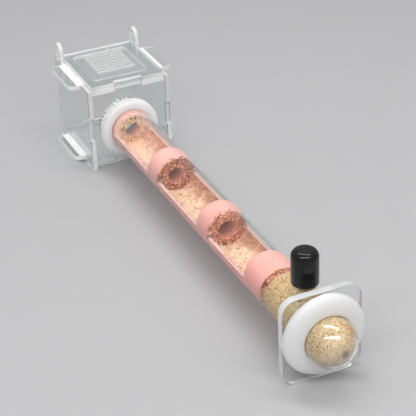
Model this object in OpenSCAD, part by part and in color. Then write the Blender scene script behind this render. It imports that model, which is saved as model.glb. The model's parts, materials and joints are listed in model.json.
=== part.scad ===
// Ant habitat: a clear foraging box with a sand-lined nest tube on a stand plate.
// X runs across the box, Y from the tube's round end to the back of the box, Z up.
// The origin is the middle of the whole object, on the surface that it stands on.

/* [Foraging box] */
// Width of the box over its two side panels
box_w = 60; // [54:1:80]
// Depth of the box from its front face to its back face
box_d = 66; // [62:1:90]
// Height of the side panels, without their ears
box_h = 60; // [57:1:80]
// Thickness of the acrylic sheet
sheet_t = 3; // [2.5:0.25:4]
// Height of the feet that hold the floor plate off the table
foot_h = 3; // [2:0.5:4]
// Gap left all round each tab in its slot
slot_gap = 0.1; // [0.05:0.05:0.2]
// Width of the tabs of the floor, front and back in the middle of each edge
tab_w = 20; // [12:1:30]
// Height of the tabs that lock the front and back panels in the side panels
side_tab_h = 17; // [10:1:24]

/* [Shelves and hatch] */
// How far each shelf stands out of its side panel
shelf_out = 8; // [5:0.5:14]
// Length of each shelf along the side panel
shelf_len = 38; // [28:1:40]
// Corner radius of the shelves
shelf_corner_r = 4; // [2:0.5:5]
// Width of the square hatch in the top frame
hatch_w = 40; // [30:1:44]
// Depth of the hatch in the top frame
hatch_d = 44; // [30:1:46]
// How far the hatch lies behind the middle of the shelves
hatch_back = 2.2; // [0:0.2:3]
// Corner radius of the hatch
hatch_corner_r = 3; // [1.5:0.5:6]

/* [Lid and ears] */
// Width of each hinge ear
ear_w = 12; // [10:0.5:14]
// Height of each ear above the side panel
ear_rise = 13.5; // [12:0.5:18]
// Running gap between the corners of a hinge tab and its ear slot
hinge_gap = 0.08; // [0.04:0.02:0.1]
// Gap between the closed lid and the top frame
lid_lift = 0.2; // [0.1:0.05:0.3]
// Gap between each side of the lid and the ear beside it
lid_side_gap = 0.3; // [0.2:0.05:0.5]
// How far each hinge tab stands out of its ear
tab_proud = 0.5; // [0.2:0.1:1]
// Bevel on the lower rear edge of the lid, which lets it tilt
lid_bevel = 0.8; // [0.75:0.05:1]
// Number of vent slits in the lid
vent_count = 8; // [5:1:9]
// Length of each vent slit
vent_len = 28; // [20:1:36]
// Width of each vent slit, too narrow for an ant
vent_w = 1; // [0.6:0.1:1.4]
// Distance from one vent slit to the next
vent_pitch = 4.3; // [3.6:0.1:4.5]
// How far the vent slits lie behind the middle of the shelves
vent_back = 3.5; // [0:0.25:4]
// Diameter of the small hole behind the vent slits
pinhole_d = 1.6; // [1:0.1:2]
// Distance of that hole behind the middle of the hatch
pinhole_back = 20.5; // [19.5:0.25:21]
// Distance of that hole to the right of the middle of the lid
pinhole_side = 6.6; // [0:0.2:12]

/* [Tube] */
// Outer diameter of the glass tube
tube_d = 29; // [26:0.5:31]
// Wall of the glass tube
tube_wall = 1.5; // [1:0.1:2]
// How far the round end stands out in front of the box
tube_reach = 309; // [305:1:340]
// How far the tube's axis lies to the left of the box's middle
tube_left = 2.5; // [0:0.5:4]
// How far the mouth stands out of the front panel into the box
mouth_in = 1; // [0.5:0.5:3]
// Distance of the side nozzle from the front of the box
nozzle_at = 264; // [250:1:266]
// Outer diameter of the nozzle
nozzle_d = 13.5; // [11:0.5:14]
// Wall of the nozzle
nozzle_wall = 1.25; // [0.8:0.05:1.5]
// Height of the nozzle's rim above the tube's axis
nozzle_rise = 40; // [34:1:48]
// Width of the flare where the nozzle leaves the tube
flare_w = 2.6; // [1:0.2:3]

/* [Nozzle cap] */
// Wall of the cap
cap_wall = 1.15; // [0.8:0.05:1.6]
// Thickness of the cap's closed top
cap_top_t = 2.2; // [1.6:0.1:3]
// Length of the nozzle that the cap covers
cap_grip = 18.5; // [12:0.5:19]
// Running gap between the cap and the nozzle
cap_gap = 0.05; // [0.02:0.01:0.1]
// Gap between the nozzle's rim and the cap's ceiling
cap_seat_gap = 0.3; // [0.1:0.1:0.5]
// Diameter of the flat in the middle of the cap's rounded top
cap_flat_d = 7.2; // [4:0.2:9]
// Height over which the top of the cap rounds off
cap_round_h = 4.4; // [2.5:0.1:6]

/* [Nest] */
// Gap between the nest's castings and the glass
cast_gap = 0.1; // [0.05:0.05:0.2]
// Length of the entrance wall in front of the box's front face
entrance_reach = 9.2; // [6:0.2:12]
// Radius of the entrance tunnel
entrance_tunnel_r = 5.4; // [4:0.1:6]
// Outer radius of the sandy ring round the entrance tunnel
entrance_ring_r = 11.6; // [9:0.1:11.8]
// Distance of the first tunnel wall from the front of the box
wall_1_at = 69; // [60:1:75]
// Length of the first tunnel wall
wall_1_len = 18; // [12:1:26]
// Distance of the second tunnel wall from the front of the box
wall_2_at = 147.5; // [138:0.5:152]
// Length of the second tunnel wall
wall_2_len = 17; // [12:1:26]
// Distance of the end wall from the front of the box
wall_3_at = 214; // [206:1:218]
// Length of the end wall
wall_3_len = 21; // [16:0.5:23]
// Length of the red-brown sand band in front of the end wall
band_len = 5; // [3:0.5:7]
// Radius of the tunnels through the walls
tunnel_r = 6; // [3.5:0.1:6.5]
// Height of the tunnels' axis above the tube's axis
tunnel_rise = 1; // [0:0.25:3]
// Thickness of the rough sand facing on each wall
facing_t = 1.2; // [0.8:0.1:2]
// Width of the beds' rims beside the hollows
rim_w = 0.75; // [0.5:0.25:2.5]
// Height of the hollow's axis above the tube's axis
hollow_rise = 2.5; // [1:0.25:3]
// Height of the beds' rims above the tube's axis
bed_rim = 0; // [-2:0.5:1]
// Thickness of the sand lining in the hollows
lining_t = 0.8; // [0.5:0.1:1.4]
// Depth of the empty stretch at the top of the nozzle
nozzle_empty = 2; // [1:0.5:8]

/* [Collar and seal] */
// Diameter of the collar over its serrated rim
collar_d = 41.5; // [41.5:0.5:47]
// Thickness of the serrated rim
rim_t = 5.5; // [2:0.25:5.75]
// Height of the collar's rounded face in front of the box
collar_h = 7; // [6:0.25:9]
// Number of teeth round the rim
tooth_count = 64; // [36:1:90]
// Depth of the teeth
tooth_depth = 0.8; // [0.3:0.05:0.9]
// Gap between the collar or its nut and the front panel
seat_gap = 0.1; // [0.05:0.05:0.2]
// Thickness of the rubber seal round the mouth of the tube
seal_t = 1.5; // [1:0.1:2]
// Running gap on each side of the seal, and between tube and ring
fit_gap = 0.05; // [0.02:0.01:0.1]
// Wall of the collar's threaded sleeve
sleeve_wall = 1.6; // [1.2:0.1:2]
// Outer diameter of the nut inside the box
nut_d = 39; // [38.5:0.25:43]
// Thickness of the nut
nut_t = 3; // [2.5:0.25:5]
// Number of grip teeth round the nut
nut_tooth_count = 38; // [24:1:60]
// Depth of the nut's grip teeth
nut_tooth_depth = 0.7; // [0.4:0.1:1.2]

/* [Stand] */
// Width of the stand plate, which carries the tube
stand_w = 49; // [44:1:60]
// Height of the stand plate
stand_h = 55; // [53:0.5:58]
// Thickness of the stand plate
stand_t = 5; // [3:0.5:6]
// Height of the tube's axis above the stand plate's middle
stand_up = 1.5; // [0:0.5:2]
// Corner radius of the stand plate
stand_corner_r = 9; // [6:0.5:12]
// Distance of the stand plate from the front of the box
stand_at = 279; // [277:1:281]
// Gap round the tube in the stand plate
stand_gap = 0.3; // [0.2:0.05:0.5]
// Outer diameter of the white grip ring
ring_d = 50; // [44:0.5:52]
// Length of the grip ring along the tube
ring_len = 7; // [5:0.5:8]
// Height of the straight edge at the back of the grip ring
ring_edge = 1.6; // [1:0.1:2.5]
// Gap between the grip ring and the stand plate
ring_gap = 0.1; // [0.05:0.05:0.2]

/* [Hidden] */
// Length that each cut runs past the face that it opens
over = 1;
// Facets of a full circle, and steps of a domed profile
round_fn = 96;
dome_steps = 10;

// Places worked out from the sizes above
tube_r = tube_d / 2;
bore_r = tube_r - tube_wall;
cast_r = bore_r - cast_gap;
dome_at = tube_reach - tube_r;
tube_z = stand_h / 2 + stand_up;
tube_x = -tube_left;
front_y = (tube_reach - box_d) / 2;
mouth_at = -(sheet_t + mouth_in);

inner_half_w = box_w / 2 - sheet_t;
sheet_half_w = inner_half_w - slot_gap;
floor_top = foot_h + sheet_t;
frame_z = box_h - sheet_t;
lid_z = box_h + lid_lift;
lid_top = lid_z + sheet_t;
side_tab_mid = (box_h + sheet_t) / 2;
shelf_mid = box_d / 2;
hatch_mid = shelf_mid + hatch_back;

hinge_y = box_d - ear_w / 2;
hinge_z = lid_z + sheet_t / 2;
hinge_r = sheet_t / 2 * sqrt(2) + hinge_gap;
ear_top_z = box_h + ear_rise - ear_w / 2;
lid_half_w = inner_half_w - lid_side_gap;
lid_back_y = hinge_y + sheet_t / 2;
tab_reach = box_w / 2 + tab_proud;

nozzle_r = nozzle_d / 2;
nozzle_bore_r = nozzle_r - nozzle_wall;
cap_bore_r = nozzle_r + cap_gap;
cap_r = cap_bore_r + cap_wall;
cap_base = nozzle_rise - cap_grip;
cap_ceiling = nozzle_rise + cap_seat_gap;
cap_top = cap_ceiling + cap_top_t;

seal_bore_r = tube_r + fit_gap;
seal_r = seal_bore_r + seal_t;
collar_bore_r = seal_r + fit_gap;
sleeve_r = collar_bore_r + sleeve_wall;
rim_root_r = collar_d / 2 - tooth_depth;
panel_hole_r = sleeve_r + slot_gap;
nut_bore_r = sleeve_r + fit_gap;
nut_back = -(sheet_t + seat_gap + nut_t);

rim_x = sqrt(cast_r * cast_r - bed_rim * bed_rim) - rim_w;
hollow_r = sqrt(rim_x * rim_x + (hollow_rise - bed_rim) * (hollow_rise - bed_rim));
wall_1_end = wall_1_at + wall_1_len;
wall_2_end = wall_2_at + wall_2_len;
wall_3_end = wall_3_at + wall_3_len;
band_end = wall_3_end + band_len;
entrance_end = entrance_reach + facing_t;

ring_at = stand_at + stand_t + ring_gap;
ring_bore_r = tube_r + fit_gap;

// Places children in the box's own frame, with Y from its front face
module in_box() {
    translate([0, front_y, 0]) children();
}

// Places children on the tube's axis, with Z along the tube from the box's front
// face towards the round end, and Y up
module on_tube(at = 0) {
    translate([tube_x, front_y - at, tube_z]) rotate([90, 0, 0]) children();
}

// A flat sheet drawn in X and Y, lying with its lower face at height z
module flat_sheet(z) {
    translate([0, 0, z]) linear_extrude(sheet_t) children();
}

// A flat sheet drawn in Y and Z, standing with its left face at x
module side_sheet(x) {
    translate([x, 0, 0]) rotate([90, 0, 90]) linear_extrude(sheet_t) children();
}

// A flat sheet drawn in X and Z, standing with its front face at y
module cross_sheet(y) {
    translate([0, y + sheet_t, 0]) rotate([90, 0, 0]) linear_extrude(sheet_t) children();
}

// Rectangle given by its lowest corner and its highest corner
module span(low, high) {
    translate(low) square(high - low);
}

// Rectangle about the middle of its X sides, from y low to y high
module bar(half_w, low, high) {
    span([-half_w, low], [half_w, high]);
}

// Rounded rectangle about the origin
module rounded(w, d, r) {
    square([w, d - r * 2], center = true);
    square([w - r * 2, d], center = true);
    for (x = [-1, 1], y = [-1, 1]) {
        translate([x * (w / 2 - r), y * (d / 2 - r)]) circle(r, $fn = round_fn);
    }
}

// Slot with round ends, from point a to point b on one vertical or level line
module round_slot(a, b, r) {
    for (p = [a, b]) translate(p) circle(r, $fn = round_fn);
    side = a[0] == b[0] ? [r, 0] : [0, r];
    span(a - side, b + side);
}

// Ring about Z
module ring(outer_r, inner_r, low, high) {
    difference() {
        translate([0, 0, low]) cylinder(r = outer_r, h = high - low, $fn = round_fn);
        translate([0, 0, low - over]) cylinder(r = inner_r, h = high - low + over * 2, $fn = round_fn);
    }
}

// Profile of a domed washer: a straight edge, then a quarter ellipse in to the bore
module domed_profile(bore, edge_r, edge_h, height) {
    polygon(concat(
        [[bore, 0], [edge_r, 0]],
        [for (i = [0 : dome_steps])
            let (a = 90 * i / dome_steps)
            [bore + (edge_r - bore) * cos(a), edge_h + (height - edge_h) * sin(a)]]
    ));
}

// Outline shared by the two side panels, in Y and Z
module side_outline() {
    difference() {
        union() {
            span([0, 0], [box_d, box_h]);
            span([box_d - ear_w, 0], [box_d, ear_top_z]);
            translate([hinge_y, ear_top_z]) circle(ear_w / 2, $fn = round_fn);
        }
        shelf_slot(foot_h - slot_gap, floor_top + slot_gap);
        shelf_slot(frame_z - slot_gap, box_h + over);
        side_tab_slot(-over, sheet_t + slot_gap);
        side_tab_slot(box_d - sheet_t - slot_gap, box_d + over);
        round_slot([hinge_y, hinge_z], [hinge_y, ear_top_z], hinge_r);
    }
}

// Opening for a shelf in a side panel
module shelf_slot(low, high) {
    half = shelf_len / 2 + slot_gap;
    span([shelf_mid - half, low], [shelf_mid + half, high]);
}

// Notch for a side tab of the front or back panel
module side_tab_slot(from_y, to_y) {
    half = side_tab_h / 2 + slot_gap;
    span([from_y, side_tab_mid - half], [to_y, side_tab_mid + half]);
}

// Outline shared by the floor and the top frame, shelves included, in X and Y
module shelf_outline() {
    translate([0, shelf_mid]) rounded(box_w + shelf_out * 2, shelf_len, shelf_corner_r);
}

// Outline shared by the front and back panels, in X and Z, with a tab up to tab_top
module end_outline(tab_top) {
    difference() {
        union() {
            bar(sheet_half_w, foot_h, frame_z - slot_gap);
            bar(box_w / 2, side_tab_mid - side_tab_h / 2, side_tab_mid + side_tab_h / 2);
            bar(tab_w / 2, frame_z - slot_gap, tab_top);
        }
        bar(tab_w / 2 + slot_gap, foot_h - over, floor_top + slot_gap);
    }
}

module left_side_panel() {
    color("gainsboro", 0.4) in_box() side_sheet(-box_w / 2) side_outline();
}

module right_side_panel() {
    color("gainsboro", 0.4) in_box() side_sheet(inner_half_w) side_outline();
}

module front_panel() {
    color("gainsboro", 0.4) in_box() cross_sheet(0) difference() {
        end_outline(lid_top);
        translate([tube_x, tube_z]) circle(panel_hole_r, $fn = round_fn);
    }
}

module back_panel() {
    color("gainsboro", 0.4) in_box() cross_sheet(box_d - sheet_t) end_outline(box_h);
}

module floor_plate() {
    color("gainsboro", 0.4) in_box() flat_sheet(foot_h) {
        bar(sheet_half_w, sheet_t + slot_gap, box_d - sheet_t - slot_gap);
        bar(tab_w / 2, 0, box_d);
        shelf_outline();
    }
}

module top_frame() {
    notch_half = tab_w / 2 + slot_gap;
    relief = hinge_r + lid_side_gap;
    relief_x = lid_half_w - lid_side_gap;
    color("gainsboro", 0.4) in_box() flat_sheet(frame_z) difference() {
        union() {
            bar(sheet_half_w, 0, box_d);
            shelf_outline();
        }
        translate([0, hatch_mid]) rounded(hatch_w, hatch_d, hatch_corner_r);
        bar(notch_half, -over, sheet_t + slot_gap);
        bar(notch_half, box_d - sheet_t - slot_gap, box_d + over);
        for (x = [-1, 1]) {
            translate([x * (relief_x + box_w / 2), hinge_y]) square([box_w, relief * 2], center = true);
        }
    }
}

// Prism that takes the lower rear edge off the lid
module lid_bevel_cut() {
    translate([-lid_half_w, lid_back_y, lid_z]) rotate([90, 0, 90]) linear_extrude(lid_half_w * 2)
        polygon([[-lid_bevel - over, -over], [over, -over], [over, lid_bevel + over]]);
}

module lid() {
    color("gainsboro", 0.4) in_box() difference() {
        union() {
            flat_sheet(lid_z) difference() {
                bar(lid_half_w, 0, lid_back_y);
                bar(tab_w / 2 + slot_gap * 2, -over, sheet_t + slot_gap * 2);
                for (i = [0 : vent_count - 1]) vent_slit(i);
                translate([pinhole_side, hatch_mid + pinhole_back]) circle(d = pinhole_d, $fn = round_fn);
            }
            for (x = [-1, 1]) hinge_tab(x);
        }
        lid_bevel_cut();
    }
}

// One vent slit of the lid, counted from the front
module vent_slit(i) {
    y = shelf_mid + vent_back + (i - (vent_count - 1) / 2) * vent_pitch;
    half = (vent_len - vent_w) / 2;
    round_slot([-half, y], [half, y], vent_w / 2);
}

// Square tab on one side of the lid, rooted in the sheet and turning in its ear
module hinge_tab(side) {
    root = lid_half_w - sheet_t;
    translate([side * (root + tab_reach) / 2, hinge_y, hinge_z])
        cube([tab_reach - root, sheet_t, sheet_t], center = true);
}

// Disc with teeth cut into its edge
module toothed_disc(disc_r, count, depth) {
    steps = count * 4;
    polygon([
        for (i = [0 : steps - 1])
            let (a = 360 * i / steps, r = disc_r - (i % 4 < 2 ? 0 : depth))
            [r * cos(a), r * sin(a)]
    ]);
}

module tube_collar() {
    color("white") on_tube() difference() {
        union() {
            translate([0, 0, seat_gap]) linear_extrude(rim_t - seat_gap)
                toothed_disc(collar_d / 2, tooth_count, tooth_depth);
            rotate_extrude($fn = round_fn) translate([0, seat_gap])
                domed_profile(collar_bore_r, rim_root_r, rim_t - seat_gap, collar_h - seat_gap);
            translate([0, 0, nut_back]) cylinder(r = sleeve_r, h = seat_gap * 2 - nut_back, $fn = round_fn);
        }
        translate([0, 0, nut_back - over])
            cylinder(r = collar_bore_r, h = collar_h - nut_back + over * 2, $fn = round_fn);
    }
}

module collar_nut() {
    color("gainsboro", 0.4) on_tube(nut_back) difference() {
        linear_extrude(nut_t) toothed_disc(nut_d / 2, nut_tooth_count, nut_tooth_depth);
        translate([0, 0, -over]) cylinder(r = nut_bore_r, h = nut_t + over * 2, $fn = round_fn);
    }
}

module mouth_seal() {
    color("whitesmoke") on_tube() ring(seal_r, seal_bore_r, nut_back, collar_h);
}

// Solid of revolution of the tube: a rod with a round end
module round_rod(r, from) {
    translate([0, 0, from]) cylinder(r = r, h = dome_at - from, $fn = round_fn);
    translate([0, 0, dome_at]) sphere(r, $fn = round_fn);
}

// Upright cylinder on the nozzle's axis, between two heights above the tube's axis
module nozzle_rod(r, low, high) {
    translate([0, low, nozzle_at]) rotate([-90, 0, 0]) cylinder(r = r, h = high - low, $fn = round_fn);
}

module glass_tube() {
    flare_h = flare_w * 2;
    color("lightcyan", 0.4) on_tube() difference() {
        union() {
            round_rod(tube_r, mouth_at);
            nozzle_rod(nozzle_r, 0, nozzle_rise);
            translate([0, tube_r - flare_h / 2, nozzle_at]) rotate([-90, 0, 0])
                cylinder(r1 = nozzle_r + flare_w, r2 = nozzle_r, h = flare_h, $fn = round_fn);
        }
        round_rod(bore_r, mouth_at - over);
        nozzle_rod(nozzle_bore_r, 0, nozzle_rise + over);
    }
}

// Half outline of the cap about its axis, closed top rounded by a quarter ellipse
module cap_profile() {
    flat_r = cap_flat_d / 2;
    polygon(concat(
        [[0, cap_ceiling], [cap_bore_r, cap_ceiling], [cap_bore_r, cap_base], [cap_r, cap_base]],
        [for (i = [0 : dome_steps])
            let (a = 90 * i / dome_steps)
            [flat_r + (cap_r - flat_r) * cos(a), cap_top - cap_round_h * (1 - sin(a))]],
        [[0, cap_top]]
    ));
}

module nozzle_cap() {
    color("black") translate([tube_x, front_y - nozzle_at, tube_z])
        rotate_extrude($fn = round_fn) cap_profile();
}

// Cast plug that fills the tube, with a tunnel of radius hole_r through it
module plug(from, to, outer_r, hole_r, hole_rise) {
    on_tube() difference() {
        translate([0, 0, from]) cylinder(r = outer_r, h = to - from, $fn = round_fn);
        translate([0, hole_rise, from - over]) cylinder(r = hole_r, h = to - from + over * 2, $fn = round_fn);
    }
}

module entrance_wall() {
    color("lightpink") plug(mouth_at, entrance_reach, cast_r, entrance_tunnel_r, 0);
}

module entrance_facing() {
    color("burlywood") plug(entrance_reach, entrance_end, entrance_ring_r, entrance_tunnel_r, 0);
}

module tunnel_wall_1() {
    color("lightpink") plug(wall_1_at, wall_1_end - facing_t, cast_r, tunnel_r, tunnel_rise);
}

module wall_facing_1() {
    color("sienna") plug(wall_1_end - facing_t, wall_1_end, cast_r, tunnel_r, tunnel_rise);
}

module tunnel_wall_2() {
    color("lightpink") plug(wall_2_at, wall_2_end - facing_t, cast_r, tunnel_r, tunnel_rise);
}

module wall_facing_2() {
    color("sienna") plug(wall_2_end - facing_t, wall_2_end, cast_r, tunnel_r, tunnel_rise);
}

// Full disc of cast or sand across the tube
module tube_disc(from, to) {
    on_tube(from) cylinder(r = cast_r, h = to - from, $fn = round_fn);
}

module end_wall() {
    color("lightpink") tube_disc(wall_3_at, wall_3_end);
}

module sand_band() {
    color("sienna") tube_disc(wall_3_end, band_end);
}

module sand_fill() {
    sand_r = nozzle_bore_r - cast_gap;
    color("burlywood") on_tube() {
        round_rod(cast_r, band_end);
        nozzle_rod(sand_r, 0, nozzle_rise - nozzle_empty);
    }
}

// Lower half of a chamber, cut off level at the beds' rims
module below_rim(from, to, r) {
    intersection() {
        translate([0, 0, from]) cylinder(r = r, h = to - from, $fn = round_fn);
        translate([-tube_d, bed_rim - tube_d, from]) cube([tube_d * 2, tube_d, to - from]);
    }
}

// Round hollow along a chamber
module hollow(from, to, r) {
    translate([0, hollow_rise, from]) cylinder(r = r, h = to - from, $fn = round_fn);
}

// Cast bed of a chamber
module bed(from, to) {
    on_tube() difference() {
        below_rim(from, to, cast_r);
        hollow(from - over, to + over, hollow_r);
    }
}

// Sand lining of a chamber's hollow
module lining(from, to) {
    on_tube() intersection() {
        difference() {
            hollow(from, to, hollow_r);
            hollow(from - over, to + over, hollow_r - lining_t);
        }
        below_rim(from, to, cast_r);
    }
}

module chamber_bed_1() {
    color("lightpink") bed(entrance_end, wall_1_at);
}

module chamber_bed_2() {
    color("lightpink") bed(wall_1_end, wall_2_at);
}

module chamber_bed_3() {
    color("lightpink") bed(wall_2_end, wall_3_at);
}

module chamber_sand_1() {
    color("burlywood") lining(entrance_end, wall_1_at);
}

module chamber_sand_2() {
    color("burlywood") lining(wall_1_end, wall_2_at);
}

module chamber_sand_3() {
    color("burlywood") lining(wall_2_end, wall_3_at);
}

module stand_plate() {
    color("gainsboro", 0.4) on_tube(stand_at) linear_extrude(stand_t) difference() {
        translate([0, -stand_up]) rounded(stand_w, stand_h, stand_corner_r);
        circle(tube_r + stand_gap, $fn = round_fn);
    }
}

module grip_ring() {
    color("white") on_tube(ring_at) rotate_extrude($fn = round_fn)
        domed_profile(ring_bore_r, ring_d / 2, ring_edge, ring_len);
}

left_side_panel();
right_side_panel();
front_panel();
back_panel();
floor_plate();
top_frame();
lid();
tube_collar();
collar_nut();
mouth_seal();
glass_tube();
nozzle_cap();
entrance_wall();
entrance_facing();
tunnel_wall_1();
wall_facing_1();
tunnel_wall_2();
wall_facing_2();
end_wall();
sand_band();
sand_fill();
chamber_bed_1();
chamber_bed_2();
chamber_bed_3();
chamber_sand_1();
chamber_sand_2();
chamber_sand_3();
stand_plate();
grip_ring();
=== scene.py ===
import json
import math

import bpy
from mathutils import Matrix, Vector


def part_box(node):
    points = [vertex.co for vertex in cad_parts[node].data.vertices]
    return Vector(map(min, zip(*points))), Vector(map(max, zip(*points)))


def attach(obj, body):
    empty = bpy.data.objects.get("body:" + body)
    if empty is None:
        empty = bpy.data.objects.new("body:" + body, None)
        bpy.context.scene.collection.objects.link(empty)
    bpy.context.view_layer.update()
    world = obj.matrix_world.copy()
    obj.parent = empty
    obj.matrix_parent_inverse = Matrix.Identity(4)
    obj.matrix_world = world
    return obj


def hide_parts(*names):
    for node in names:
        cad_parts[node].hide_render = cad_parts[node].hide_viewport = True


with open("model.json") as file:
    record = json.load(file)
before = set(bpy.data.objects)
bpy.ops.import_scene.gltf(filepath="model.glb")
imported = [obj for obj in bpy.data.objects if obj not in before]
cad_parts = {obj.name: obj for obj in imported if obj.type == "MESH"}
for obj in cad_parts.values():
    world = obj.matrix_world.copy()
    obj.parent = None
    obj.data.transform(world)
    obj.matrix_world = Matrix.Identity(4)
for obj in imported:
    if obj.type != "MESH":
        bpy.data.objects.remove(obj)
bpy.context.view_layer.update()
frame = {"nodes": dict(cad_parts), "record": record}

bl_info = {
    "name": "Ant Habitat",
    "version": (1, 0, 0),
    "blender": (4, 5, 0),
    "location": "View3D > Sidebar > Habitat",
    "description": "Dresses an ant habitat: clear foraging box, nest tube, cast chambers and stand",
    "category": "Object",
}

MM = 0.001
BODIES = frame["record"]["behaviour"]["bodies"]
BODY_OF = {name: body for body, names in BODIES.items() for name in names}

# The nest tube: its axis, its box, the castings' radius and the glass's bore, which they are wetted to
AXIS = (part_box("end_wall")[0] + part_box("end_wall")[1]) / 2
TUBE_X, TUBE_Z = AXIS.x, AXIS.z
TUBE_LOW, TUBE_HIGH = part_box("glass_tube")
TUBE_R = (TUBE_HIGH.x - TUBE_LOW.x) / 2
CAST_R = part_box("end_wall")[1].x - TUBE_X
WETTING = 0.12 * MM
BORE_R = CAST_R + WETTING
NOZZLE_Y = -142.5 * MM

# The tunnels through the cast walls
TUNNEL_R = 6.0 * MM
TUNNEL_UP = 1.0 * MM
ENTRANCE_R = 5.4 * MM

# Where painted shade marks a small pit in the sand at the round end
DOME_PIT = (TUBE_X + 1.25 * MM, TUBE_LOW.y + 1.61 * MM, TUBE_Z + 0.22 * MM)


# Settings

def colour(title, about, value):
    return bpy.props.FloatVectorProperty(
        name=title, description=about, default=value, subtype="COLOR", size=3, min=0, max=1)


def length(title, about, value):
    return bpy.props.FloatProperty(
        name=title, description=about, default=value, min=0.0, max=0.05, unit="LENGTH", precision=5)


def number(title, about, value, **limits):
    return bpy.props.FloatProperty(name=title, description=about, default=value, **limits)


class HabitatSheetSettings(bpy.types.PropertyGroup):
    """Sizes and colours of the acrylic sheets"""
    edge_round: length("Edge Rounding", "Small bevel along every cut edge", 0.00022)
    plate_round: length("Plate Rounding", "Rounding of the stand plate's edges", 0.0012)
    clear: colour("Clear Sheet", "Tint of the sheet's polished faces", (0.93, 0.95, 0.95))
    cut_edge: colour("Cut Edge", "Colour of the bright cut edges", (0.95, 0.965, 0.96))
    cement: colour("Cement", "Colour of the white cement at the shelves' joints", (0.93, 0.94, 0.93))


class HabitatNestSettings(bpy.types.PropertyGroup):
    """Sizes and colours of the castings and the sand"""
    lump: length("Lump Height", "How far the rough facings stand out and in", 0.0011)
    hollow_rough: length("Floor Roughness", "How uneven the chamber floors are", 0.0007)
    plaster: colour("Plaster", "Colour of the cast walls", (0.93, 0.45, 0.401))
    pale: colour("Pale Grains", "Main colour of the loose sand", (0.72, 0.53, 0.27))
    red: colour("Red Grains", "Main colour of the rough facings", (0.55, 0.18, 0.1))


class HabitatFittingSettings(bpy.types.PropertyGroup):
    """Colours of the collar, ring, seal, cap and glass"""
    white: colour("White Plastic", "Colour of the collar", (0.95, 0.95, 0.945))
    rubber: colour("White Rubber", "Colour of the grip ring", (0.88, 0.88, 0.875))
    cap: colour("Cap", "Colour of the nozzle's cap", (0.004, 0.004, 0.0045))
    glass: colour("Glass", "Tint of the tube", (0.965, 0.985, 0.98))


class HabitatStageSettings(bpy.types.PropertyGroup):
    """Floor, lamps and camera"""
    floor: colour("Floor", "Colour of the plain floor", (0.53, 0.53, 0.54))
    sky: number("Sky", "Strength of the even light", 0.6, min=0, max=2)
    top_lamp: number("Top Lamp", "Power of the lamp overhead", 3.5, min=0, unit="POWER")
    front_lamp: number("Front Lamp", "Power of the lamp in front", 4.0, min=0, unit="POWER")
    lens: number("Lens", "Focal length of the camera", 129.81, min=10, unit="CAMERA")


# Modelling helpers

def deselect():
    bpy.ops.object.select_all(action="DESELECT")


def only(obj):
    deselect()
    obj.select_set(True)
    bpy.context.view_layer.objects.active = obj


def edit(obj, *steps):
    """Runs the steps in edit mode, with everything selected at the start"""
    only(obj)
    bpy.ops.object.mode_set(mode="EDIT")
    bpy.ops.mesh.select_all(action="SELECT")
    for step in steps:
        step()
    bpy.ops.object.mode_set(mode="OBJECT")


def cut_across(piece, point, normal):
    """Adds edges to the piece where a plane crosses it"""
    edit(piece, lambda: bpy.ops.mesh.bisect(plane_co=point, plane_no=normal))


def copy_of(node_name, name):
    """A new object with its own copy of a CAD node's mesh, its loose triangles joined"""
    piece = bpy.data.objects.new(name, frame["nodes"][node_name].data.copy())
    piece.data.materials.clear()
    bpy.context.scene.collection.objects.link(piece)
    only(piece)
    bpy.ops.mesh.customdata_custom_splitnormals_clear()
    edit(piece,
         lambda: bpy.ops.mesh.remove_doubles(threshold=2e-6),
         lambda: bpy.ops.mesh.dissolve_limited(angle_limit=math.radians(0.3)))
    return piece


def away_from_axis(point):
    return math.hypot(point.x - TUBE_X, point.z - TUBE_Z)


def set_away(point, radius):
    """Moves a point straight in or out to a distance from the tube's axis"""
    factor = radius / away_from_axis(point)
    point.x = TUBE_X + (point.x - TUBE_X) * factor
    point.z = TUBE_Z + (point.z - TUBE_Z) * factor


def cast_copy(node_name, name):
    """A copy of a casting whose outer face is wetted to the glass, so that no air shows between them"""
    outer_skin = 0.2 * MM
    piece = copy_of(node_name, name)
    for vertex in piece.data.vertices:
        if away_from_axis(vertex.co) > CAST_R - outer_skin:
            set_away(vertex.co, BORE_R)
    smooth(piece, 40)
    return piece


def smooth(piece, angle):
    """Shades the piece smooth, apart from edges sharper than the angle in degrees"""
    only(piece)
    bpy.ops.object.shade_smooth_by_angle(angle=math.radians(angle))


def modify(piece, kind, **values):
    """Adds a modifier, sets it up and applies it"""
    only(piece)
    mod = piece.modifiers.new(kind.title(), kind)
    for key, value in values.items():
        setattr(mod, key, value)
    bpy.ops.object.modifier_apply(modifier=mod.name)


def bevel(piece, width, segments, least_angle, **values):
    """Bevels the edges that are sharper than an angle in degrees"""
    modify(piece, "BEVEL", width=width, segments=segments, limit_method="ANGLE",
           angle_limit=math.radians(least_angle), **values)


def dress(piece, node_name, slot, *materials):
    """Puts the materials on a piece that stands for a CAD node, and lets it ride on the node's body"""
    for one in materials:
        piece.data.materials.append(one)
    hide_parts(node_name)
    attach(piece, BODY_OF[node_name])


def noise_texture(name, size):
    texture = bpy.data.textures.new(name, "CLOUDS")
    texture.noise_scale = size
    texture.noise_depth = 2
    texture.cloud_type = "COLOR"
    return texture


def rough(piece, texture, strength):
    """Moves the piece's points about by a texture, each axis by a colour of its own"""
    modify(piece, "DISPLACE", texture=texture, direction="RGB_TO_XYZ", strength=strength,
           mid_level=0.5, texture_coords="LOCAL")


def press_inside(piece, radius, low_y=None):
    """Pushes points that stand out past the tube's bore, or past an end plane, back to them"""
    for vertex in piece.data.vertices:
        co = vertex.co
        if away_from_axis(co) > radius:
            set_away(co, radius)
        if low_y is not None:
            co.y = max(co.y, low_y)


# Material helpers

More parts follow.
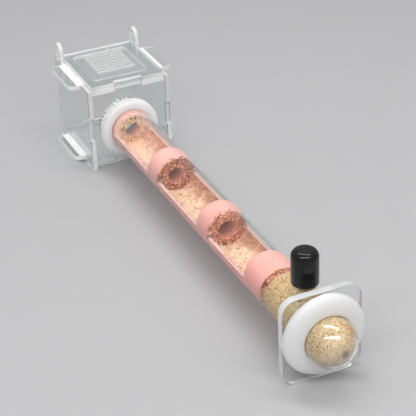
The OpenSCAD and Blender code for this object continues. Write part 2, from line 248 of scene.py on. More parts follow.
def group(name, sockets_in, sockets_out):
    """A node group with the given inputs (title, kind, value) and outputs (title, kind)"""
    tree = bpy.data.node_groups.new(name, "ShaderNodeTree")
    for title, kind, value in sockets_in:
        socket = tree.interface.new_socket(name=title, in_out="INPUT", socket_type=kind)
        if value is not None:
            socket.default_value = value
    for title, kind in sockets_out:
        tree.interface.new_socket(name=title, in_out="OUTPUT", socket_type=kind)
    return tree, tree.nodes.new("NodeGroupInput"), tree.nodes.new("NodeGroupOutput")


def node(tree, kind, links=(), **values):
    """Adds a node, sets its values and its unlinked sockets, and links its inputs"""
    made = tree.nodes.new(kind)
    for key, value in values.items():
        setattr(made, key, value)
    for socket, source in dict(links).items():
        if isinstance(source, bpy.types.NodeSocket):
            tree.links.new(source, made.inputs[socket])
        else:
            made.inputs[socket].default_value = source
    return made


def noise(tree, place, scale, detail, roughness=0.5):
    return node(tree, "ShaderNodeTexNoise", {
        "Vector": place, "Scale": scale, "Detail": detail, "Roughness": roughness}).outputs["Fac"]


def maths(tree, operation, *values):
    """The result of a Math node whose values are numbers or sockets"""
    return node(tree, "ShaderNodeMath", dict(enumerate(values)), operation=operation).outputs[0]


def coordinate(tree, place, axis):
    """One coordinate of a place: X, Y or Z"""
    return node(tree, "ShaderNodeSeparateXYZ", {"Vector": place}).outputs[axis]


def distance(tree, place, point):
    """How far a place is from a point"""
    return node(tree, "ShaderNodeVectorMath", {0: place, 1: point}, operation="DISTANCE").outputs["Value"]


def map_range(tree, value, from_min, from_max, to_min=0.0, to_max=1.0):
    return node(tree, "ShaderNodeMapRange", {
        "Value": value, "From Min": from_min, "From Max": from_max,
        "To Min": to_min, "To Max": to_max}).outputs[0]


def mix(tree, factor, first, second, blend="MIX"):
    """Mixes a colour socket with a second one, or with a plain colour"""
    if not isinstance(second, bpy.types.NodeSocket):
        second = (*second, 1.0)
    made = node(tree, "ShaderNodeMix", {0: factor, 6: first, 7: second}, data_type="RGBA", blend_type=blend)
    return made.outputs[2]


def ramp(tree, factor, *stops):
    """Colours along a factor; each stop is a place and a colour"""
    made = node(tree, "ShaderNodeValToRGB", {"Fac": factor})
    points = made.color_ramp.elements
    while len(points) < len(stops):
        points.new(0.5)
    for point, (at, tone) in zip(points, stops):
        point.position = at
        point.color = (*tone, 1.0)
    return made.outputs["Color"]


def shade(tone, factor):
    return tuple(min(1.0, c * factor) for c in tone)


def grain_group():
    """Loose grains: a random tone for each grain, a mask of stray specks and the grains' height"""
    tree, given, out = group(
        "Grains",
        [("Vector", "NodeSocketVector", None), ("Scale", "NodeSocketFloat", 1400.0),
         ("Specks", "NodeSocketFloat", 0.06)],
        [("Tone", "NodeSocketFloat"), ("Speck", "NodeSocketFloat"), ("Height", "NodeSocketFloat")])
    place = given.outputs["Vector"]
    cells = node(tree, "ShaderNodeTexVoronoi", {"Vector": place, "Scale": given.outputs["Scale"]})
    split = node(tree, "ShaderNodeSeparateColor", {"Color": cells.outputs["Color"]})
    own_tone = maths(tree, "MULTIPLY", split.outputs["Red"], 0.72)
    tone = maths(tree, "MULTIPLY_ADD", noise(tree, place, 160.0, 2.0), 0.45, own_tone)
    speck = maths(tree, "LESS_THAN", split.outputs["Green"], given.outputs["Specks"])
    height = maths(tree, "SUBTRACT", 1.0, cells.outputs["Distance"])
    for title, source in (("Tone", tone), ("Speck", speck), ("Height", height)):
        tree.links.new(source, out.inputs[title])
    return tree


def handling_group():
    """Faint smears from handling, as a roughness between two values and as a plain mask"""
    tree, given, out = group(
        "Handling",
        [("Vector", "NodeSocketVector", None), ("Scale", "NodeSocketFloat", 60.0),
         ("Least", "NodeSocketFloat", 0.02), ("Most", "NodeSocketFloat", 0.12)],
        [("Roughness", "NodeSocketFloat"), ("Smear", "NodeSocketFloat")])
    smear = noise(tree, given.outputs["Vector"], given.outputs["Scale"], 5.0, 0.62)
    wear = map_range(tree, smear, 0.42, 0.72, given.outputs["Least"], given.outputs["Most"])
    for title, source in (("Roughness", wear), ("Smear", smear)):
        tree.links.new(source, out.inputs[title])
    return tree


GROUP_MAKERS = {"grains": grain_group, "handling": handling_group}
GROUPS = {}


def use(tree, name, **sockets):
    """Adds a shared node group, which is built at its first use"""
    if name not in GROUPS:
        GROUPS[name] = GROUP_MAKERS[name]()
    return node(tree, "ShaderNodeGroup", sockets, node_tree=GROUPS[name])


def start_material(name, **values):
    """A material with its Principled BSDF and object coordinates"""
    made = bpy.data.materials.new(name)
    made.use_nodes = True
    tree = made.node_tree
    shader = next(n for n in tree.nodes if n.type == "BSDF_PRINCIPLED")
    for title, value in values.items():
        shader.inputs[title.replace("_", " ")].default_value = value
    place = node(tree, "ShaderNodeTexCoord").outputs["Object"]
    return made, tree, shader, place


def feed(tree, source, shader, *titles):
    for title in titles:
        tree.links.new(source, shader.inputs[title])


def handle(tree, shader, place, scale, least, most):
    """Lets the roughness wander between two values, and returns the smears' mask"""
    wear = use(tree, "handling", Vector=place, Scale=scale, Least=least, Most=most)
    feed(tree, wear.outputs["Roughness"], shader, "Roughness")
    return wear.outputs["Smear"]


def bump(tree, shader, height, distance, strength):
    made = node(tree, "ShaderNodeBump", {"Strength": strength, "Distance": distance, "Height": height})
    feed(tree, made.outputs["Normal"], shader, "Normal")


def clear_shadow(tree, shader, tint):
    """Lets lamps shine through a clear material"""
    out = next(n for n in tree.nodes if n.type == "OUTPUT_MATERIAL")
    path = node(tree, "ShaderNodeLightPath")
    through = node(tree, "ShaderNodeBsdfTransparent", {"Color": (*tint, 1.0)})
    blend = node(tree, "ShaderNodeMixShader", {
        0: path.outputs["Is Shadow Ray"], 1: shader.outputs["BSDF"], 2: through.outputs["BSDF"]})
    tree.links.new(blend.outputs["Shader"], out.inputs["Surface"])


# Materials of the acrylic sheets

ACRYLIC_IOR = 1.49


def make_clear_sheet():
    s = bpy.context.scene.habitat_sheets
    made, tree, shader, place = start_material(
        "Clear Acrylic", Base_Color=(*s.clear, 1), Transmission_Weight=1.0, IOR=ACRYLIC_IOR)
    handle(tree, shader, place, 70.0, 0.0, 0.05)
    clear_shadow(tree, shader, (0.93, 0.94, 0.94))
    return made


def make_cut_edge():
    s = bpy.context.scene.habitat_sheets
    # The cut edge glows a little in its own colour: painted light
    made, tree, shader, place = start_material(
        "Cut Acrylic Edge", IOR=ACRYLIC_IOR, Transmission_Weight=0.3, Emission_Strength=0.08)
    lines = noise(tree, place, 900.0, 3.0)
    tone = ramp(tree, lines, (0.3, shade(s.cut_edge, 0.84)), (0.62, shade(s.cut_edge, 0.95)))
    feed(tree, tone, shader, "Base Color", "Emission Color")
    handle(tree, shader, place, 240.0, 0.3, 0.45)
    bump(tree, shader, lines, 0.05 * MM, 0.3)
    return made


def make_bright_line():
    """The bright line where a cut edge meets a polished face, a painted highlight that glows"""
    s = bpy.context.scene.habitat_sheets
    made, tree, shader, place = start_material(
        "Lit Edge Line", Base_Color=(*s.cut_edge, 1), Emission_Color=(*s.cut_edge, 1),
        IOR=ACRYLIC_IOR, Emission_Strength=0.4)
    handle(tree, shader, place, 200.0, 0.1, 0.3)
    return made


def make_cement():
    s = bpy.context.scene.habitat_sheets
    # The cement glows a little in its own colour: painted light
    made, tree, shader, place = start_material(
        "White Cement", IOR=1.46, Roughness=0.5, Emission_Strength=0.18)
    cloud = noise(tree, place, 500.0, 4.0)
    tone = ramp(tree, cloud, (0.3, shade(s.cement, 0.82)), (0.6, s.cement))
    feed(tree, tone, shader, "Base Color", "Emission Color")
    bump(tree, shader, cloud, 0.1 * MM, 0.5)
    return made


def make_polished_edge():
    s = bpy.context.scene.habitat_sheets
    # The polished edge glows a little in its own colour: painted light
    made, tree, shader, place = start_material(
        "Polished Acrylic Edge", Base_Color=(*s.cut_edge, 1), Emission_Color=(*s.cut_edge, 1),
        Transmission_Weight=0.45, IOR=ACRYLIC_IOR, Emission_Strength=0.06)
    handle(tree, shader, place, 160.0, 0.08, 0.2)
    return made


# Materials of the tube and the fittings

def make_glass():
    s = bpy.context.scene.habitat_fittings
    made, tree, shader, place = start_material(
        "Tube Glass", Base_Color=(*s.glass, 1), Transmission_Weight=1.0, IOR=1.47, Coat_IOR=1.8)
    handle(tree, shader, place, 50.0, 0.0, 0.03)
    # The round end shows the lamps as bright bars, so it has a glossy coat past the grip ring
    coat_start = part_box("grip_ring")[0].y
    coat = map_range(tree, coordinate(tree, place, "Y"), coat_start, coat_start - 3 * MM)
    feed(tree, coat, shader, "Coat Weight")
    clear_shadow(tree, shader, (0.94, 0.96, 0.955))
    return made


def make_white():
    s = bpy.context.scene.habitat_fittings
    made, tree, shader, place = start_material("White Plastic", IOR=1.5)
    smear = handle(tree, shader, place, 120.0, 0.3, 0.42)
    feed(tree, ramp(tree, smear, (0.3, shade(s.white, 0.97)), (0.7, s.white)), shader, "Base Color")
    bump(tree, shader, noise(tree, place, 1600.0, 2.0), 0.04 * MM, 0.4)
    return made


def make_rubber():
    s = bpy.context.scene.habitat_fittings
    made, tree, shader, place = start_material("White Rubber", IOR=1.5, Sheen_Weight=0.1)
    smear = handle(tree, shader, place, 90.0, 0.42, 0.58)
    feed(tree, ramp(tree, smear, (0.3, shade(s.rubber, 0.96)), (0.7, s.rubber)), shader, "Base Color")
    return made


def make_cap():
    s = bpy.context.scene.habitat_fittings
    made, tree, shader, place = start_material("Black Cap", IOR=1.4)
    smear = handle(tree, shader, place, 110.0, 0.03, 0.09)
    feed(tree, ramp(tree, smear, (0.3, s.cap), (0.75, shade(s.cap, 2.2))), shader, "Base Color")
    return made


# Materials of the castings

# The pale plaster mixed in towards the box, and as a painted highlight towards the top
PALE_AND_HIGHLIGHT_PLASTER = (0.93, 0.63, 0.57)


def make_plaster():
    """Pink plaster, paler towards the box, and paler towards the top as a painted highlight"""
    s = bpy.context.scene.habitat_nest
    made, tree, shader, place = start_material("Pink Plaster", Roughness=0.8)
    cloud = noise(tree, place, 120.0, 6.0, 0.65)
    tone = ramp(tree, cloud, (0.3, shade(s.plaster, 0.9)), (0.55, s.plaster), (0.75, shade(s.plaster, 1.06)))
    far = map_range(tree, coordinate(tree, place, "Y"), -60 * MM, 50 * MM)
    # Painted highlight: the plaster is painted paler towards the top
    high = map_range(tree, coordinate(tree, place, "Z"), TUBE_Z - 4 * MM, TUBE_Z + 14 * MM, to_max=0.2)
    pale = maths(tree, "MULTIPLY_ADD", far, 0.28, high)
    feed(tree, mix(tree, pale, tone, PALE_AND_HIGHLIGHT_PLASTER), shader, "Base Color")
    grains = use(tree, "grains", Vector=place, Scale=900.0, Specks=0.0)
    bump(tree, shader, grains.outputs["Height"], 0.08 * MM, 0.3)
    return made


def tunnel_plaster(name, wall, near, deep_shade):
    """Plaster inside a wall's tunnel, with painted light: a painted glow near the mouth, and its colour
    painted darker deeper inside as shade
    """
    made, tree, shader, place = start_material(name, Roughness=0.85, Emission_Strength=0.5)
    mouth_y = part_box(wall)[0].y
    cloud = noise(tree, place, 420.0, 4.0)
    # How far inside the tunnel a place is, which sets the painted shade
    depth = map_range(tree, coordinate(tree, place, "Y"), mouth_y + 1 * MM, mouth_y + 17 * MM, to_max=0.8)
    cloud_and_shade = maths(tree, "MULTIPLY_ADD", cloud, 0.4, depth)
    middle = tuple((a + b) / 2.4 for a, b in zip(near, deep_shade))
    tone = ramp(tree, cloud_and_shade, (0.2, shade(near, 0.6)), (0.5, shade(middle, 0.55)), (0.85, shade(deep_shade, 0.7)))
    feed(tree, tone, shader, "Base Color")
    # The emission is a painted glow, brightest near the mouth and fading inside
    painted_glow = ramp(tree, cloud_and_shade, (0.2, shade(near, 0.75)), (0.5, shade(middle, 0.75)), (0.85, shade(deep_shade, 0.9)))
    feed(tree, painted_glow, shader, "Emission Color")
    bump(tree, shader, cloud, 0.6 * MM, 0.6)
    return made


def make_entrance_tunnel():
    return tunnel_plaster("Entrance Tunnel", "entrance_wall", (0.82, 0.4, 0.33), (0.2, 0.18, 0.19))


def make_tunnel_1():
    return tunnel_plaster("First Tunnel", "tunnel_wall_1", (0.85, 0.34, 0.25), (0.16, 0.03, 0.015))


def make_tunnel_2():
    return tunnel_plaster("Second Tunnel", "tunnel_wall_2", (0.76, 0.3, 0.19), (0.14, 0.025, 0.012))


# Materials of the sand

# The colour of the painted shade in the pit at the round end
PIT_SHADE_TONE = (0.1, 0.045, 0.015)


def damp_places_and_shade(tree, place, tone, damp_and_shade):
    """Darker damp places at random, and painted shade that darkens the sand more to the right of the tube's
    axis
    """
    broad = noise(tree, place, 130.0, 5.0, 0.7)
    # Painted shade: the sand is darkened more to the right of the tube's axis
    painted_shade_right = map_range(tree, coordinate(tree, place, "X"), TUBE_X - 1 * MM, TUBE_X + 11 * MM, to_max=0.45)
    mask = map_range(tree, maths(tree, "ADD", broad, painted_shade_right), 0.62, 0.98, to_max=0.85)
    return mix(tree, mask, tone, damp_and_shade, "MULTIPLY")


def painted_pit_shade(tree, place, tone, point):
    """Painted shade of a small pit: a dark spot round a point"""
    mask = map_range(tree, distance(tree, place, point), 0.6 * MM, 3.4 * MM, 0.95, 0.0)
    return mix(tree, mask, tone, PIT_SHADE_TONE)


def other_rim(tree, place, tone, hues, rim):
    """Another colour far from the tube's axis, with a border that wanders"""
    flat = node(tree, "ShaderNodeVectorMath", {0: place, 1: (1, 0, 1)}, operation="MULTIPLY")
    radius = distance(tree, flat.outputs["Vector"], (TUBE_X, 0, TUBE_Z))
    wander = maths(tree, "MULTIPLY_ADD", hues, 2 * MM, radius)
    mask = map_range(tree, wander, 10.2 * MM, 11.2 * MM, to_max=0.8)
    return mix(tree, mask, tone, rim)


def sand(name, tones, stray, specks, scale, depth, damp_and_shade=None, pit_shade=None, rim=None):
    """Sand of the given tones with a share of stray specks, what lies on it, and painted shade to one side
    and in a pit
    """
    made, tree, shader, place = start_material(name, Roughness=0.85)
    grains = use(tree, "grains", Vector=place, Scale=scale, Specks=specks)
    tone = mix(tree, grains.outputs["Speck"], ramp(tree, grains.outputs["Tone"], *tones), stray)
    hues = noise(tree, place, 380.0, 3.0, 0.6)
    hue = ramp(tree, hues, (0.36, (1.0, 0.86, 0.82)), (0.5, (0.97, 0.95, 0.92)), (0.64, (0.98, 0.92, 0.77)))
    tone = mix(tree, 1.0, tone, hue, "MULTIPLY")
    if damp_and_shade:
        tone = damp_places_and_shade(tree, place, tone, damp_and_shade)
    if pit_shade:
        tone = painted_pit_shade(tree, place, tone, pit_shade)
    if rim:
        tone = other_rim(tree, place, tone, hues, rim)
    feed(tree, tone, shader, "Base Color")
    bump(tree, shader, grains.outputs["Height"], depth, 0.9)
    return made


def make_pale_sand():
    pale = tuple(bpy.context.scene.habitat_nest.pale)
    tones = [(0.08, shade(pale, 0.5)), (0.3, shade(pale, 0.85)), (0.55, pale),
             (0.8, (0.86, 0.74, 0.52)), (0.96, (0.72, 0.42, 0.2))]
    return sand("Pale Sand", tones, (0.34, 0.19, 0.09), 0.05, 1300.0, 0.4 * MM,
                damp_and_shade=(0.84, 0.68, 0.44), pit_shade=DOME_PIT)


def make_lining_sand():
    tones = [(0.05, (0.5, 0.22, 0.13)), (0.28, (0.78, 0.42, 0.28)), (0.5, (0.88, 0.57, 0.42)),
             (0.8, (0.95, 0.75, 0.55))]
    return sand("Chamber Sand", tones, (0.42, 0.17, 0.09), 0.08, 950.0, 0.6 * MM, damp_and_shade=(0.56, 0.3, 0.21))


def make_pink_sand():
    tones = [(0.05, (0.6, 0.28, 0.19)), (0.28, (0.86, 0.47, 0.36)), (0.5, (0.93, 0.59, 0.48)),
             (0.8, (0.97, 0.72, 0.58))]
    return sand("Pink Sand", tones, (0.5, 0.24, 0.14), 0.05, 1050.0, 0.5 * MM, damp_and_shade=(0.6, 0.36, 0.26))


def make_red_sand():
    red = tuple(bpy.context.scene.habitat_nest.red)
    tones = [(0.05, shade(red, 0.25)), (0.3, shade(red, 0.7)), (0.55, red), (0.85, (0.86, 0.42, 0.27))]
    return sand("Red Sand", tones, (0.17, 0.055, 0.03), 0.14, 900.0, 0.7 * MM)


def make_entrance_sand():
    tones = [(0.05, (0.3, 0.17, 0.09)), (0.3, (0.55, 0.35, 0.2)), (0.55, (0.76, 0.53, 0.34)),
             (0.85, (0.92, 0.73, 0.54))]
    return sand("Entrance Sand", tones, (0.3, 0.17, 0.08), 0.1, 950.0, 0.6 * MM, rim=(0.9, 0.6, 0.5))


MATERIAL_MAKERS = {
    "clear": make_clear_sheet, "edge": make_cut_edge, "line": make_bright_line, "cement": make_cement,
    "polished": make_polished_edge, "glass": make_glass, "white": make_white, "rubber": make_rubber,
    "cap": make_cap, "plaster": make_plaster, "entrance_tunnel": make_entrance_tunnel,
    "tunnel_1": make_tunnel_1, "tunnel_2": make_tunnel_2, "pale_sand": make_pale_sand,
    "lining_sand": make_lining_sand, "pink_sand": make_pink_sand, "red_sand": make_red_sand,
    "entrance_sand": make_entrance_sand,
}
MATERIALS = {}


def material(name):
    """Builds each material once, at its first use"""
    if name not in MATERIALS:
        MATERIALS[name] = MATERIAL_MAKERS[name]()
    return MATERIALS[name]


# Acrylic pieces

FACE, EDGE, LINE, CEMENT = range(4)
CEMENT_INSIDE = 0.3 * MM
CEMENT_OUTSIDE = {"floor_plate": 4.0 * MM, "top_frame": 1.7 * MM}


def cut_sheet(node_name, axis, rounding, joints=None):
    """One acrylic sheet with clear faces, cut edges and a small bevel with a painted highlight; joints gives
    the cemented bands
    """
    piece = copy_of(node_name, node_name + "_sheet")
    if joints:
        for x in (-joints[1], -joints[0], joints[0], joints[1]):
            cut_across(piece, (x, 0, 0), (1, 0, 0))
    for face in piece.data.polygons:
        flat = abs(face.normal[axis]) > 0.9
        band = joints and flat and joints[0] < abs(face.center.x) < joints[1]
        face.material_index = CEMENT if band else FACE if flat else EDGE
    bevel(piece, rounding, 1, 35, material=LINE)
    smooth(piece, 20)
    dress(piece, node_name, "acrylic",
          material("clear"), material("edge"), material("line"), material("cement"))


class HABITAT_OT_box(bpy.types.Operator):
    """Makes the clear sheets of the foraging box and its lid"""
    bl_idname = "habitat.box"
    bl_label = "Foraging Box"

    def execute(self, context):
        rounding = context.scene.habitat_sheets.edge_round
        low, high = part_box("right_side_panel")
        for node_name, axis in (("left_side_panel", 0), ("right_side_panel", 0), ("front_panel", 1),
                                ("back_panel", 1), ("lid", 2)):
            cut_sheet(node_name, axis, rounding)
        for node_name, outside in CEMENT_OUTSIDE.items():
            cut_sheet(node_name, 2, rounding, (low.x - CEMENT_INSIDE, high.x + outside))
        return {"FINISHED"}


class HABITAT_OT_stand(bpy.types.Operator):
    """Makes the thick clear stand plate and the white grip ring"""
    bl_idname = "habitat.stand"
    bl_label = "Stand"

    def execute(self, context):
        plate = copy_of("stand_plate", "stand_sheet")
        for face in plate.data.polygons:
            face.material_index = FACE if abs(face.normal.y) > 0.9 else EDGE
        bevel(plate, context.scene.habitat_sheets.plate_round, 4, 35, material=EDGE)
        smooth(plate, 50)
        for face in plate.data.polygons:
            if abs(face.normal.y) > 0.999:
                face.use_smooth = False
        dress(plate, "stand_plate", "acrylic", material("clear"), material("polished"))
        ring = copy_of("grip_ring", "grip_ring_dressed")
        bevel(ring, 0.4 * MM, 3, 40)
        smooth(ring, 40)
        dress(ring, "grip_ring", "white_rubber", material("rubber"))
        return {"FINISHED"}


# Collar, glass tube and cap

class HABITAT_OT_collar(bpy.types.Operator):
    """Makes the serrated collar, its nut and the seal"""
    bl_idname = "habitat.collar"
    bl_label = "Collar and Seal"

    def execute(self, context):
        for node_name, slot, tone in (("tube_collar", "white_plastic", "white"),
                                      ("collar_nut", "acrylic", "clear"),
                                      ("mouth_seal", "seal_rubber", "rubber")):
            piece = copy_of(node_name, node_name + "_dressed")
            bevel(piece, 0.12 * MM, 1, 50)
            smooth(piece, 28)
            dress(piece, node_name, slot, material(tone))
        return {"FINISHED"}


class HABITAT_OT_tube(bpy.types.Operator):
    """Makes the glass tube with its side nozzle, and the black cap"""
    bl_idname = "habitat.tube"
    bl_label = "Glass Tube and Cap"

    def execute(self, context):
        tube = copy_of("glass_tube", "nest_tube")
        rim_depth = 0.1 * MM
        at_rim = [v.index for v in tube.data.vertices
                  if v.co.z > TUBE_HIGH.z - rim_depth or v.co.y > TUBE_HIGH.y - rim_depth]
        rims = tube.vertex_groups.new(name="Rims")
        rims.add(at_rim, 1.0, "REPLACE")
        modify(tube, "BEVEL", width=0.45 * MM, segments=4, limit_method="VGROUP", vertex_group="Rims")
        # Rings near the mouth, nozzle and round end keep their curvature out of the long wall's normals
        mouth_ring = TUBE_HIGH.y - 1.2 * MM
        dome_ring = TUBE_LOW.y + TUBE_R + 1 * MM
        bore_end_ring = TUBE_LOW.y + BORE_R + 1.5 * MM
        beside_nozzle = 12 * MM
        for y in (mouth_ring, dome_ring, bore_end_ring, NOZZLE_Y - beside_nozzle, NOZZLE_Y + beside_nozzle):
            cut_across(tube, (0, y, 0), (0, 1, 0))
        smooth(tube, 40)
        dress(tube, "glass_tube", "glass", material("glass"))
        cap = copy_of("nozzle_cap", "nozzle_cap_dressed")
        bevel(cap, 0.35 * MM, 3, 60)
        smooth(cap, 40)
        dress(cap, "nozzle_cap", "black_vinyl", material("cap"))
        return {"FINISHED"}


# Castings and sand

RING_TURNS = 128
RING_STEP = 0.8 * MM

# A thin margin between the sand and the glass's bore
SKIN = 0.01 * MM


def hollow_ring(name, near, far, outer, inner, rise, rings):
    """A ring between two planes along the tube: a circle extruded along, inwards and back through its hole"""
    deselect()
    bpy.ops.mesh.primitive_circle_add(
        vertices=RING_TURNS, radius=outer, location=(TUBE_X, near, TUBE_Z), rotation=(math.pi / 2, 0, 0))
    ring = bpy.context.object
    ring.name = name
    bpy.ops.object.transform_apply(location=True, rotation=True, scale=True)
    bpy.ops.object.mode_set(mode="EDIT")
    bpy.ops.mesh.select_all(action="SELECT")
    steps = max(2, round(abs(far - near) / RING_STEP))

    def extrude(x, y, z):
        bpy.ops.mesh.extrude_region_move(TRANSFORM_OT_translate={"value": (x, y, z)})

    def along(total):
        for i in range(steps):
            extrude(0, total / steps, 0)

    def across(start, end, lift, y):
        for i in range(rings):
            radius = start + (end - start) * i / rings
            next_radius = start + (end - start) * (i + 1) / rings
            extrude(0, 0, lift / rings)
            centre = TUBE_Z + (rise if lift < 0 else 0) + lift * (i + 1) / rings
            growth = next_radius / radius
            bpy.ops.transform.resize(value=(growth, 1, growth), center_override=(TUBE_X, y, centre))

    along(far - near)
    across(outer, inner, rise, far)
    along(near - far)
    across(inner, outer, -rise, near)
    bpy.ops.mesh.select_all(action="SELECT")
    bpy.ops.mesh.remove_doubles(threshold=1e-6)
    bpy.ops.mesh.normals_make_consistent(inside=False)
    bpy.ops.object.mode_set(mode="OBJECT")
    return ring


def make_wall(name, inside):
    """A cast wall, whose tunnel gets a plaster with a painted glow and painted shade"""
    tunnel_depth = 2 * MM
    cast = cast_copy(name, name + "_cast")
    for face in cast.data.polygons:
        if abs(face.normal.y) < 0.5 and away_from_axis(face.center) < CAST_R - tunnel_depth:
            face.material_index = 1
    dress(cast, name, "plaster", material("plaster"), material(inside))


def make_facing(name, hole, rise, tone, lumps, lump):
    """A rough sand facing, rooted in the wall behind it and pressed against the glass"""
    low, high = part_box(name)
    root = 2.4 * MM
    front = 0.3 * MM
    margin = 0.2 * MM
    outer = min(high.x - TUBE_X + margin, BORE_R + SKIN)
    piece = hollow_ring(name + "_rough", high.y + root, low.y + front, outer, hole + margin, rise, 14)
    rough(piece, lumps, lump * 2)
    press_inside(piece, BORE_R + 3 * SKIN, low.y - margin)
    # The lower part stays just inside the glass, and only the top shows pressed against it
    lower_part = TUBE_Z + 1 * MM
    lower_radius = BORE_R - 2 * SKIN
    for vertex in piece.data.vertices:
        if vertex.co.z < lower_part and away_from_axis(vertex.co) > lower_radius:
            set_away(vertex.co, lower_radius)
    smooth(piece, 60)
    dress(piece, name, "pale_sand" if name == "entrance_facing" else "red_sand", material(tone))


class HABITAT_OT_walls(bpy.types.Operator):
    """Makes the cast walls with their tunnels, and the rough sand facings in front of them"""
    bl_idname = "habitat.walls"
    bl_label = "Cast Walls"

    def execute(self, context):
        lump = context.scene.habitat_nest.lump
        lumps = noise_texture("Sand Lumps", 2.2 * MM)
        for wall, facing, hole, rise, inside, tone in (
                ("entrance_wall", "entrance_facing", ENTRANCE_R, 0.0, "entrance_tunnel", "entrance_sand"),
                ("tunnel_wall_1", "wall_facing_1", TUNNEL_R, TUNNEL_UP, "tunnel_1", "red_sand"),
                ("tunnel_wall_2", "wall_facing_2", TUNNEL_R, TUNNEL_UP, "tunnel_2", "red_sand")):
            make_wall(wall, inside)
            make_facing(facing, hole, rise, tone, lumps, lump)
        dress(cast_copy("end_wall", "end_wall_cast"), "end_wall", "plaster", material("plaster"))
        return {"FINISHED"}


class HABITAT_OT_chambers(bpy.types.Operator):
    """Makes the cast beds of the chambers and their sand linings"""
    bl_idname = "habitat.chambers"
    bl_label = "Chambers"

    def execute(self, context):
        s = context.scene.habitat_nest
        uneven = noise_texture("Floor Unevenness", 3 * MM)
        slice_length = 1.2 * MM
        for i in (1, 2, 3):
            bed = cast_copy(f"chamber_bed_{i}", f"chamber_bed_{i}_cast")
            dress(bed, f"chamber_bed_{i}", "plaster", material("plaster"))
            lining = copy_of(f"chamber_sand_{i}", f"chamber_sand_{i}_rough")
            modify(lining, "TRIANGULATE")
            low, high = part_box(f"chamber_sand_{i}")
            for count in range(1, int((high.y - low.y) / slice_length)):
                cut_across(lining, (0, low.y + slice_length * count, 0), (0, 1, 0))
            rough(lining, uneven, s.hollow_rough * 2)
            press_inside(lining, CAST_R)
            smooth(lining, 60)
            tone = "pink_sand" if i == 1 else "lining_sand"
            dress(lining, f"chamber_sand_{i}", "lining_sand", material(tone))
        return {"FINISHED"}


class HABITAT_OT_sand(bpy.types.Operator):
    """Makes the red sand band and the sand that fills the round end and the nozzle"""
    bl_idname = "habitat.sand"
    bl_label = "Sand Fill"

    def execute(self, context):
        low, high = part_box("sand_band")
        root = 0.3 * MM
        pinhole = 0.4 * MM
        band = hollow_ring("red_band", high.y + root, low.y, BORE_R, pinhole, 0.0, 6)
        rough(band, noise_texture("Band Edge", 2.5 * MM), 2 * MM)
        press_inside(band, BORE_R + SKIN)
        smooth(band, 60)
        dress(band, "sand_band", "red_sand", material("red_sand"))
        fill = copy_of("sand_fill", "round_end_sand")
        growth = BORE_R / CAST_R
        for vertex in fill.data.vertices:
            set_away(vertex.co, away_from_axis(vertex.co) * growth)
        smooth(fill, 40)
        dress(fill, "sand_fill", "pale_sand", material("pale_sand"))
        return {"FINISHED"}


# Stage

FLOOR_SIZE = 8.0
FLOOR_Z = -0.06 * MM
TOP_LAMP_PLACE = (0.12, 0.1, 1.0)
FRONT_LAMP_PLACE = (-0.232, -0.604, 0.78)
CAMERA_PLACE = (-0.32092, -0.75537, 0.49801)
CAMERA_RIGHT = (0.908977, -0.414922, -0.040019)
CAMERA_UP = (0.239508, 0.441285, 0.864814)
CAMERA_BACK = (-0.341171, -0.795681, 0.500495)


def lamp(name, place, aim, width, depth, power):
    """A soft oblong lamp that faces a point"""
    data = bpy.data.lights.new(name, "AREA")
    data.shape = "RECTANGLE"
    data.size = width
    data.size_y = depth
    data.energy = power
    obj = bpy.data.objects.new(name, data)
    bpy.context.scene.collection.objects.link(obj)
    obj.location = place
    obj.rotation_euler = (Vector(aim) - Vector(place)).to_track_quat("-Z", "Y").to_euler()


def make_floor(tone):
    deselect()
    bpy.ops.mesh.primitive_plane_add(size=FLOOR_SIZE, location=(0, 0, FLOOR_Z))
    floor = bpy.context.object
    floor.name = "Floor"
    made, tree, shader, place = start_material("Floor Paper", Roughness=0.9, Specular_IOR_Level=0.1)
    fibre = noise(tree, place, 30.0, 4.0)
    feed(tree, ramp(tree, fibre, (0.3, shade(tone, 0.985)), (0.7, tone)), shader, "Base Color")
    floor.data.materials.append(made)


def make_sky(scene, strength):
    """Even light that is a little stronger from above"""
    world = bpy.data.worlds.new("Even Sky")
    world.use_nodes = True
    tree = world.node_tree
    sky = next(n for n in tree.nodes if n.type == "BACKGROUND")
    up = coordinate(tree, node(tree, "ShaderNodeTexCoord").outputs["Generated"], "Z")
    feed(tree, ramp(tree, up, (0.0, (0.6, 0.6, 0.61)), (0.8, (1, 1, 1))), sky, "Color")
    sky.inputs["Strength"].default_value = strength
    scene.world = world


def make_camera(scene, lens):
    """The camera that the photograph was fitted with"""
    data = bpy.data.cameras.new("Camera")
    data.sensor_fit = "HORIZONTAL"
    data.sensor_width = 36.0
    data.lens = lens
    data.clip_start = 0.05
    data.clip_end = 20
    camera = bpy.data.objects.new("Camera", data)
    scene.collection.objects.link(camera)
    turn = Matrix((CAMERA_RIGHT, CAMERA_UP, CAMERA_BACK)).transposed().to_4x4()
    camera.matrix_world = Matrix.Translation(CAMERA_PLACE) @ turn
    scene.camera = camera


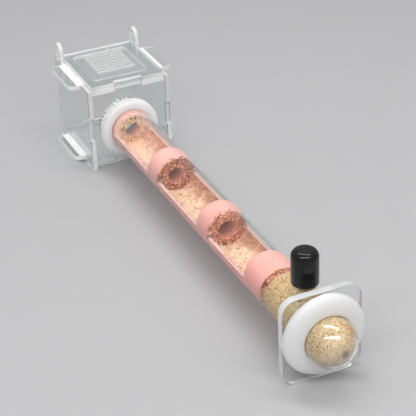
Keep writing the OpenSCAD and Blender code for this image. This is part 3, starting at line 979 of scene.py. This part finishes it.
class HABITAT_OT_stage(bpy.types.Operator):
    """Sets the floor, the even sky, two soft lamps and the camera"""
    bl_idname = "habitat.stage"
    bl_label = "Stage"

    def execute(self, context):
        scene = context.scene
        s = scene.habitat_stage
        make_floor(s.floor)
        make_sky(scene, s.sky)
        lamp("Top Lamp", TOP_LAMP_PLACE, (0, 0, 0.03), 1.0, 0.22, s.top_lamp)
        lamp("Front Lamp", FRONT_LAMP_PLACE, (0, -0.1, 0.03), 1.2, 0.13, s.front_lamp)
        make_camera(scene, s.lens)
        scene.view_settings.view_transform = "Standard"
        return {"FINISHED"}


# Panel and registration

class HABITAT_PT_panel(bpy.types.Panel):
    """Lists the habitat's pieces, sizes and colours"""
    bl_label = "Ant Habitat"
    bl_idname = "HABITAT_PT_panel"
    bl_space_type = "VIEW_3D"
    bl_region_type = "UI"
    bl_category = "Habitat"

    def draw(self, context):
        for operator in OPERATORS:
            self.layout.operator(operator.bl_idname)
        for name in SETTINGS:
            box = self.layout.box()
            settings = getattr(context.scene, name)
            for key in settings.__annotations__:
                box.prop(settings, key)


SETTINGS = {
    "habitat_sheets": HabitatSheetSettings, "habitat_nest": HabitatNestSettings,
    "habitat_fittings": HabitatFittingSettings, "habitat_stage": HabitatStageSettings,
}
OPERATORS = (HABITAT_OT_stage, HABITAT_OT_box, HABITAT_OT_collar, HABITAT_OT_tube, HABITAT_OT_walls,
             HABITAT_OT_chambers, HABITAT_OT_sand, HABITAT_OT_stand)


def register():
    for cls in (*SETTINGS.values(), *OPERATORS, HABITAT_PT_panel):
        bpy.utils.register_class(cls)
    for name, cls in SETTINGS.items():
        setattr(bpy.types.Scene, name, bpy.props.PointerProperty(type=cls))


def unregister():
    for name in SETTINGS:
        delattr(bpy.types.Scene, name)
    for cls in (HABITAT_PT_panel, *reversed(OPERATORS), *SETTINGS.values()):
        bpy.utils.unregister_class(cls)


def main():
    register()
    bpy.ops.habitat.stage()
    bpy.ops.habitat.box()
    bpy.ops.habitat.collar()
    bpy.ops.habitat.tube()
    bpy.ops.habitat.walls()
    bpy.ops.habitat.chambers()
    bpy.ops.habitat.sand()
    bpy.ops.habitat.stand()


if __name__ == "__main__":
    main()
